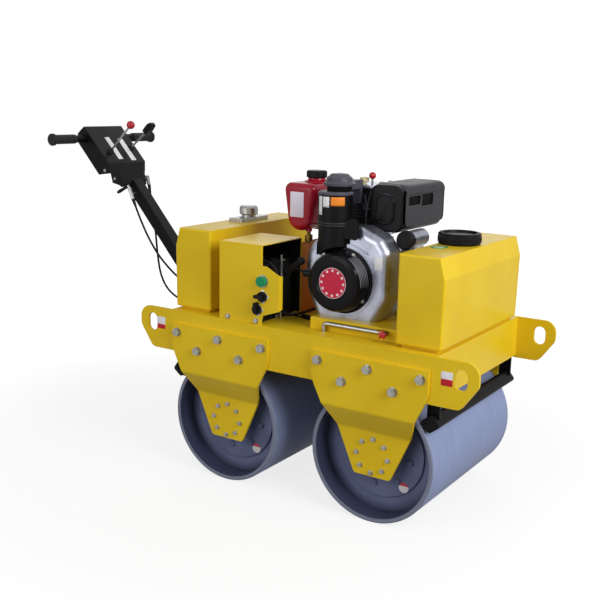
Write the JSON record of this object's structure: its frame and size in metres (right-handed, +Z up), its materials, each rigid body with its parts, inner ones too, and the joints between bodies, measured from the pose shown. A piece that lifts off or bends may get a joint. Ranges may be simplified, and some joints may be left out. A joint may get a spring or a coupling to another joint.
{
  "type": "vibratory roller",
  "caption": "Walk-behind twin-drum vibratory roller with a flat deck, air-cooled diesel engine, two box tanks, battery box and folding guide handle.",
  "frame": {"origin": "centre of the bounding box on the ground, under both drums", "axes": "+X forward, away from the guide handle; +Y to the machine's left; +Z up; the drums turn about Y"},
  "size_m": [1.793, 0.7, 1.1905],
  "materials": {
    "yellow_paint": "gloss enamel",
    "blue_grey_paint": "satin enamel",
    "black_paint": "satin enamel",
    "dark_grey_paint": "heat-resistant satin enamel",
    "dark_red_paint": "gloss enamel",
    "cast_aluminium": "cast, silver painted",
    "zinc_steel": "zinc plated",
    "yellow_brass": "machined",
    "black_plastic": "moulded",
    "green_plastic": "moulded",
    "red_plastic": "moulded",
    "black_rubber": "moulded"
  },
  "bodies": {
    "frame": {"air_cleaner": "black_paint", "battery": "black_plastic", "battery_box": "yellow_paint", "battery_clamp": "zinc_steel", "blower_shroud": "cast_aluminium", "crankcase": "cast_aluminium", "cylinder_head": "dark_grey_paint", "deck_plate": "yellow_paint", "decompression_lever": "zinc_steel", "drum_hubs": "blue_grey_paint", "engine_bed": "yellow_paint", "cross_beams": "yellow_paint", "front_yokes": "yellow_paint", "rear_yokes": "yellow_paint", "yoke_bolts": "zinc_steel", "battery_cable": "black_rubber", "fuel_cock": "yellow_brass", "fuel_tank": "dark_red_paint", "fuel_tank_bracket": "black_paint", "fuel_tank_cap": "black_plastic", "handle_bracket": "yellow_paint", "hydraulic_pump": "zinc_steel", "hydraulic_tank": "yellow_paint", "hydraulic_tank_cap": "zinc_steel", "intake_duct": "dark_grey_paint", "left_cable": "black_rubber", "muffler": "black_paint", "muffler_heat_shield": "dark_grey_paint", "oil_drain_pipe": "zinc_steel", "oil_drain_valve": "red_plastic", "panel_switches": "black_plastic", "start_button": "green_plastic", "recoil_grip": "black_plastic", "recoil_starter": "black_paint", "decompression_knob": "red_plastic", "right_cable": "black_rubber", "scraper_bars": "black_paint", "scraper_hangers": "zinc_steel", "side_plate_left": "yellow_paint", "side_plate_right": "yellow_paint", "starter_motor": "cast_aluminium", "starter_end_cap": "black_plastic", "water_tank": "yellow_paint", "water_tank_cap": "black_plastic"},
    "front_drum": {"front_drum": "blue_grey_paint"},
    "rear_drum": {"rear_drum": "blue_grey_paint"},
    "handle": {"boom": "black_paint", "console": "black_paint", "handlebar": "black_paint", "handle_grips": "black_rubber", "control_levers": "zinc_steel", "travel_knob": "red_plastic", "throttle_knob": "black_plastic", "cable_adjusters": "zinc_steel"}
  },
  "joints": [
    {"name": "front_drum_spin", "type": "hinge", "parent": "frame", "child": "front_drum", "pos_m": [0.5475, 0, 0.2125], "axis": [0, 1, 0], "continuous": true},
    {"name": "rear_drum_spin", "type": "hinge", "parent": "frame", "child": "rear_drum", "pos_m": [-0.0165, 0, 0.2125], "axis": [0, 1, 0], "continuous": true},
    {"name": "handle_fold", "type": "hinge", "parent": "frame", "child": "handle", "pos_m": [-0.3031, 0, 0.505], "axis": [0, 1, 0], "range_deg": [0, 38], "deforming": ["left_cable", "right_cable"]}
  ]
}
